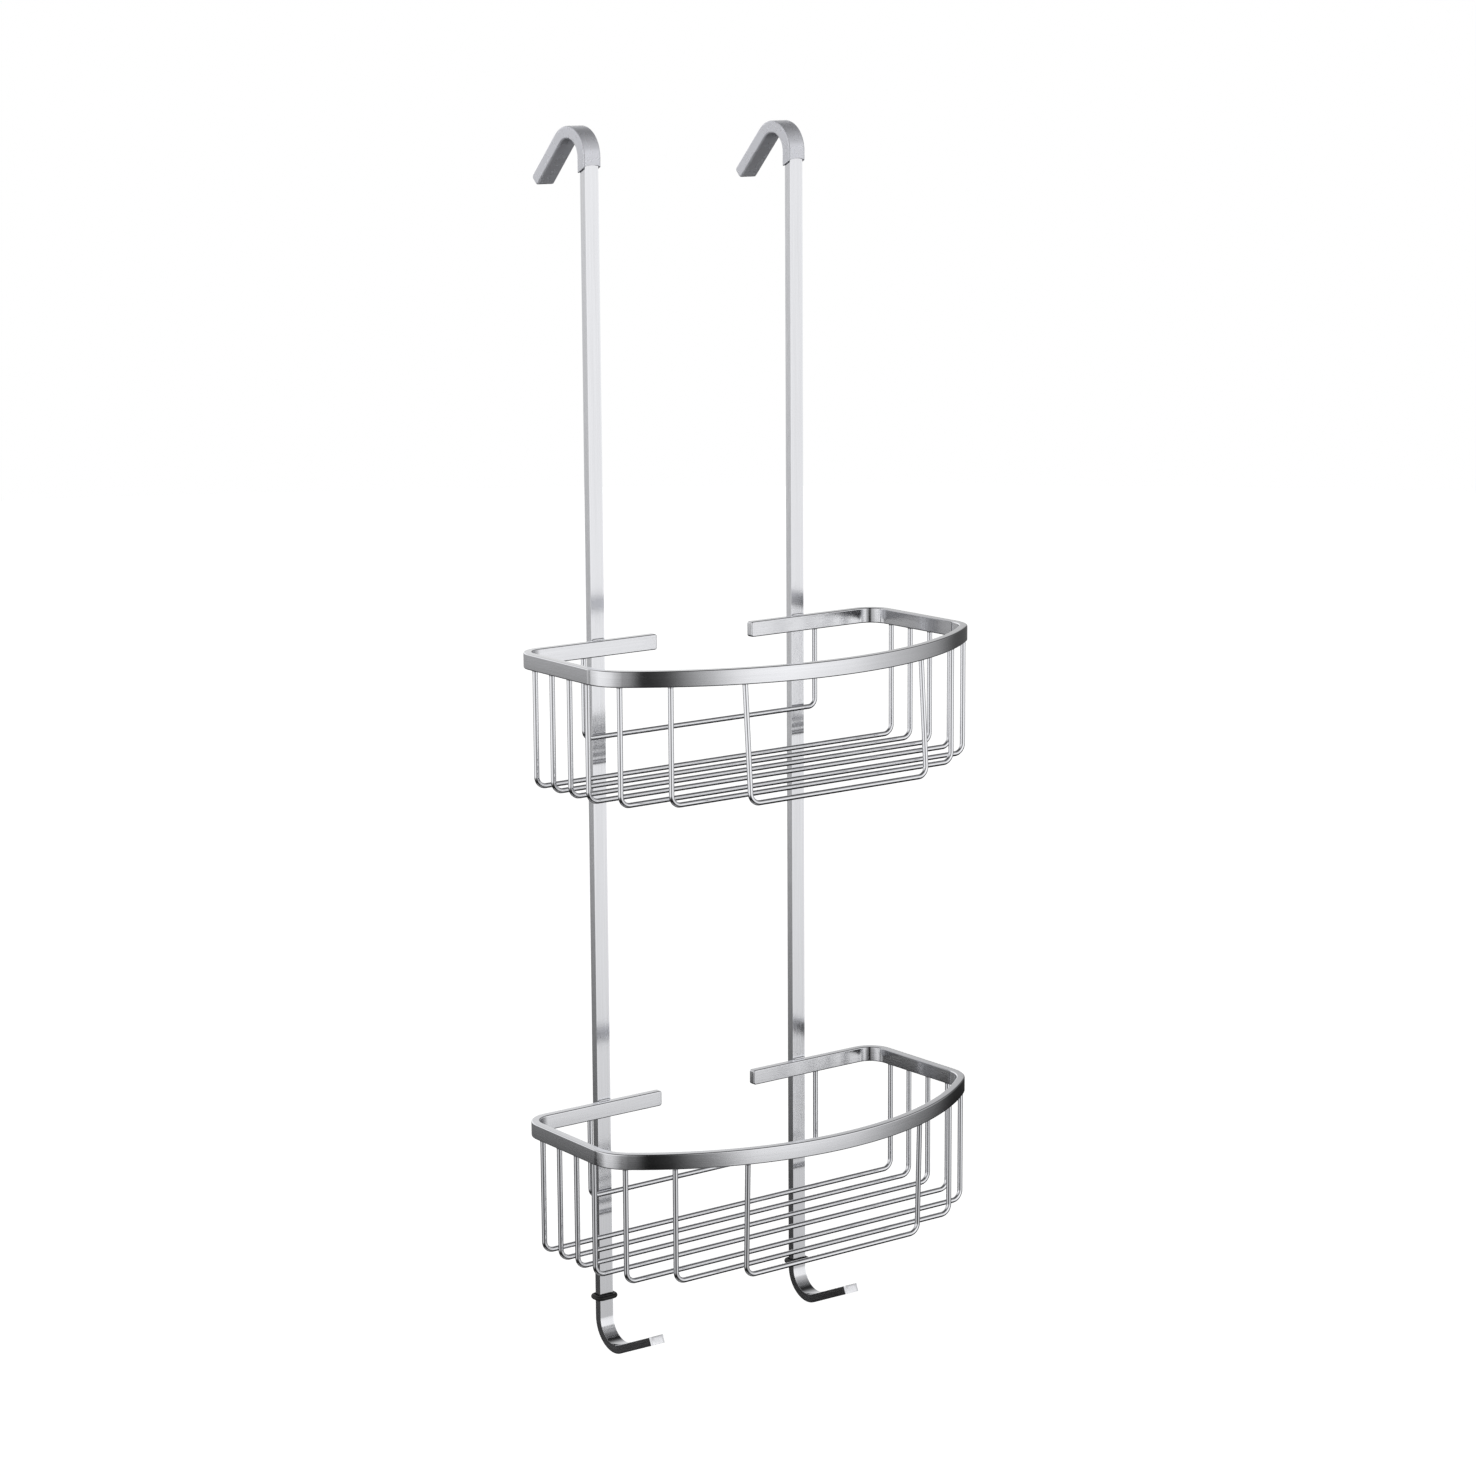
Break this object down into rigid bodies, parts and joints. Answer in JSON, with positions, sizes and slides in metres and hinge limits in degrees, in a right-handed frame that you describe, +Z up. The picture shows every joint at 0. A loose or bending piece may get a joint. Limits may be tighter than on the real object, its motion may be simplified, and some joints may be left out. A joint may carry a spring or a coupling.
{
  "type": "shower caddy",
  "caption": "Hanging shower caddy with D-shaped wire baskets on flat-bar uprights, sleeved hooks that reach over a screen or door, and curved bottom hooks for cloths.",
  "frame": {"origin": "on the top edge of the screen that the caddy hangs on, midway between the crowns of the two top hooks", "axes": "+Z up, +Y to the rear, the way the top hooks reach over the screen, -Y the way the baskets and bottom hooks project, +X along the wide side"},
  "size_m": [0.2782, 0.2012, 0.751],
  "materials": {
    "steel": "satin polished stainless steel bar and wire with a fine lengthwise grain",
    "sleeve": "soft satin grey, slightly translucent moulded plastic",
    "ring": "matt black rubber"
  },
  "bodies": {
    "root": {"left_upright": "steel", "left_hook_sleeve": "sleeve", "right_upright": "steel", "right_hook_sleeve": "sleeve", "upper_rim": "steel", "upper_guard_wire": "steel", "upper_basket_wire_1": "steel", "upper_basket_wire_2": "steel", "upper_basket_wire_3": "steel", "upper_basket_wire_4": "steel", "upper_basket_wire_5": "steel", "upper_basket_wire_6": "steel", "upper_basket_wire_7": "steel", "lower_rim": "steel", "lower_guard_wire": "steel", "lower_basket_wire_1": "steel", "lower_basket_wire_2": "steel", "lower_basket_wire_3": "steel", "lower_basket_wire_4": "steel", "lower_basket_wire_5": "steel", "lower_basket_wire_6": "steel", "lower_basket_wire_7": "steel"},
    "left_ring": {"left_bumper_ring": "ring"},
    "right_ring": {"right_bumper_ring": "ring"}
  },
  "joints": [
    {"name": "left_ring_slide", "type": "slide", "parent": "root", "child": "left_ring", "axis": [0, 0, 1], "range_m": [-0.011, 0.064]},
    {"name": "right_ring_slide", "type": "slide", "parent": "root", "child": "right_ring", "axis": [0, 0, 1], "range_m": [-0.002, 0.073]}
  ]
}
